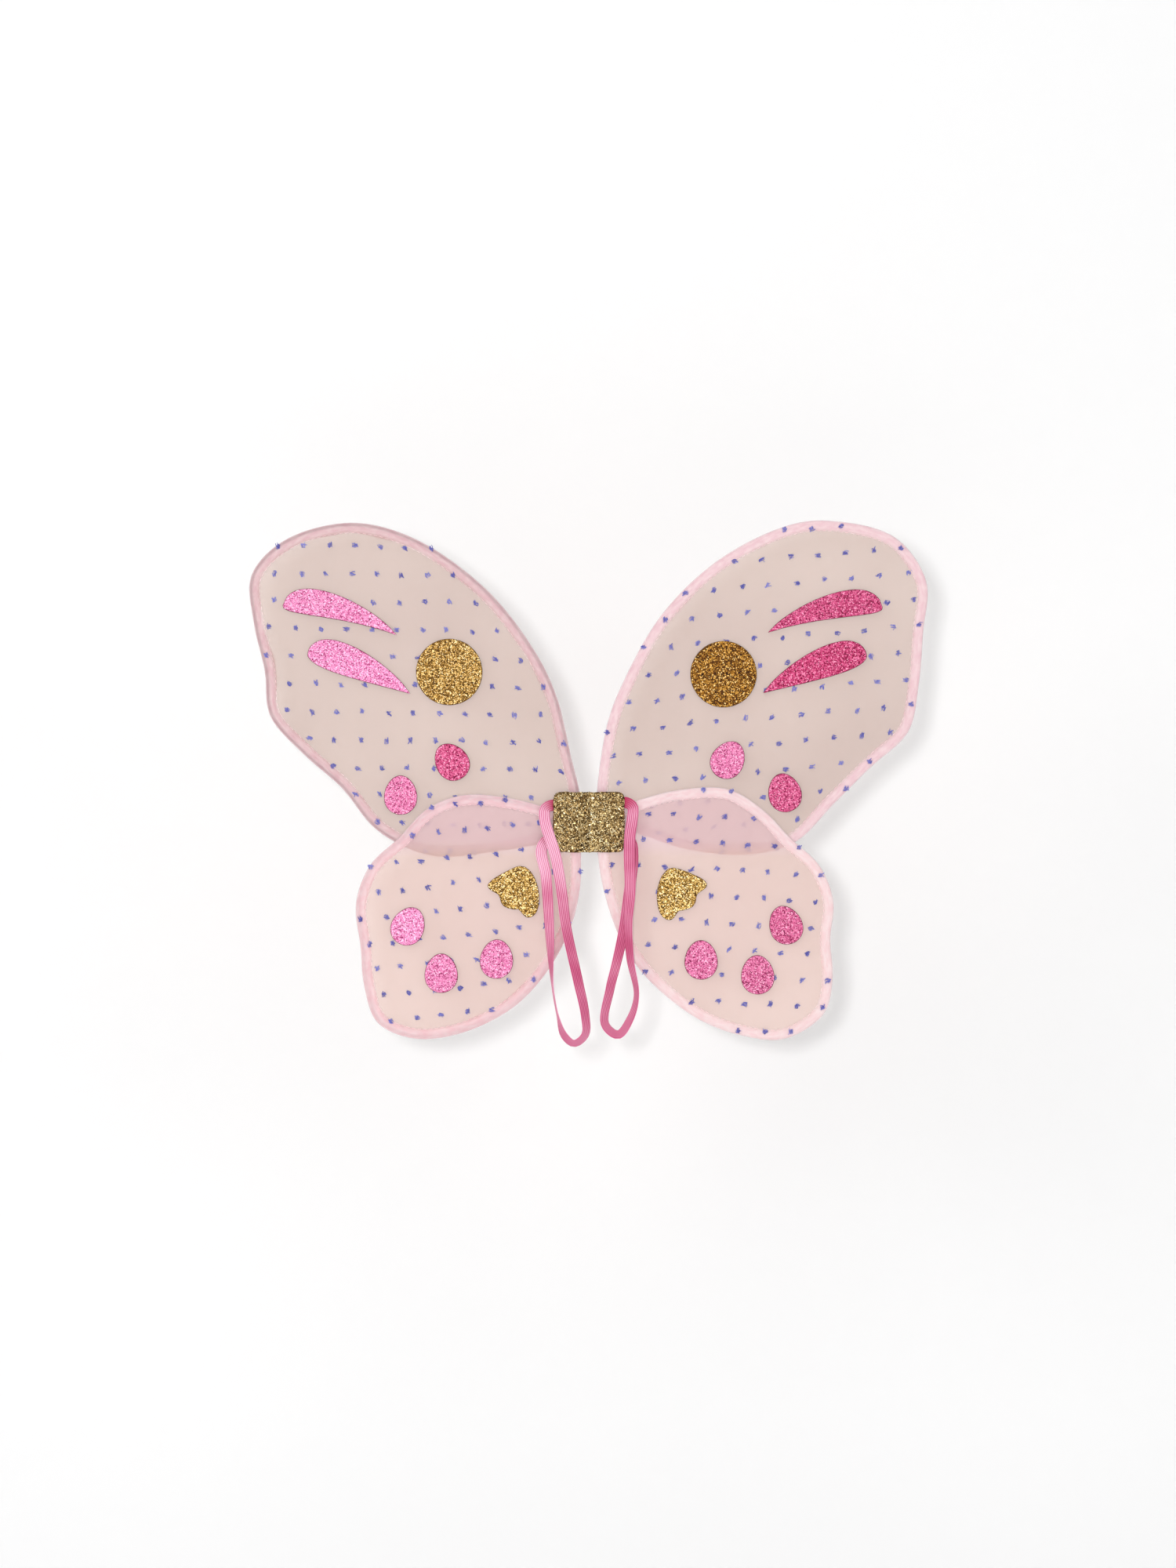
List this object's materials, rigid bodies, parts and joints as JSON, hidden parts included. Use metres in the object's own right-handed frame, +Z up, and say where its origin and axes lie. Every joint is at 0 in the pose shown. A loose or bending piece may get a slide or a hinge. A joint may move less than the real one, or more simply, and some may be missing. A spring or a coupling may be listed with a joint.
{
  "type": "fairy wings",
  "caption": "Child's butterfly-shaped costume wings: wire loops covered in tufted pink mesh, glitter shapes, a gold centre patch and elastic shoulder loops.",
  "frame": {"origin": "middle of the rear face of the centre patch's back layer, between the wings' roots", "axes": "+X to the right as seen from the decorated front, +Y out of the back, +Z up as the wings are worn"},
  "size_m": [0.4851, 0.0187, 0.3759],
  "materials": {
    "steel": "thin drawn steel wire",
    "mesh": "translucent pale pink mesh with clipped blue thread tufts",
    "gold_glitter": "gold glitter bonded on felt-backed sheet",
    "pink_glitter": "pink glitter bonded on felt-backed sheet",
    "elastic": "ribbed woven elastic"
  },
  "bodies": {
    "centre": {"back_patch_middle": "gold_glitter", "front_patch_middle": "gold_glitter"},
    "left_half": {"back_patch_left": "gold_glitter", "front_patch_left": "gold_glitter", "lower_left_back_mesh": "mesh", "lower_left_crimp": "steel", "lower_left_egg_inner": "pink_glitter", "lower_left_egg_middle": "pink_glitter", "lower_left_egg_outer": "pink_glitter", "lower_left_front_mesh": "mesh", "lower_left_gold_shell": "gold_glitter", "lower_left_wire": "steel", "strap_left": "elastic", "upper_left_back_mesh": "mesh", "upper_left_crimp": "steel", "upper_left_egg_inner": "pink_glitter", "upper_left_egg_outer": "pink_glitter", "upper_left_feather_high": "pink_glitter", "upper_left_feather_low": "pink_glitter", "upper_left_front_mesh": "mesh", "upper_left_gold_disc": "gold_glitter", "upper_left_wire": "steel"},
    "right_half": {"back_patch_right": "gold_glitter", "front_patch_right": "gold_glitter", "lower_right_back_mesh": "mesh", "lower_right_crimp": "steel", "lower_right_egg_inner": "pink_glitter", "lower_right_egg_middle": "pink_glitter", "lower_right_egg_outer": "pink_glitter", "lower_right_front_mesh": "mesh", "lower_right_gold_shell": "gold_glitter", "lower_right_wire": "steel", "strap_right": "elastic", "upper_right_back_mesh": "mesh", "upper_right_crimp": "steel", "upper_right_egg_inner": "pink_glitter", "upper_right_egg_outer": "pink_glitter", "upper_right_feather_high": "pink_glitter", "upper_right_feather_low": "pink_glitter", "upper_right_front_mesh": "mesh", "upper_right_gold_disc": "gold_glitter", "upper_right_wire": "steel"}
  },
  "joints": [
    {"name": "left_fold", "type": "hinge", "parent": "centre", "child": "left_half", "pos_m": [-0.0042, -0.00082, 0], "axis": [0, 0, 1], "range_deg": [-90, 45]},
    {"name": "right_fold", "type": "hinge", "parent": "centre", "child": "right_half", "pos_m": [0.0042, -0.00082, 0], "axis": [0, 0, -1], "range_deg": [-90, 45]}
  ]
}
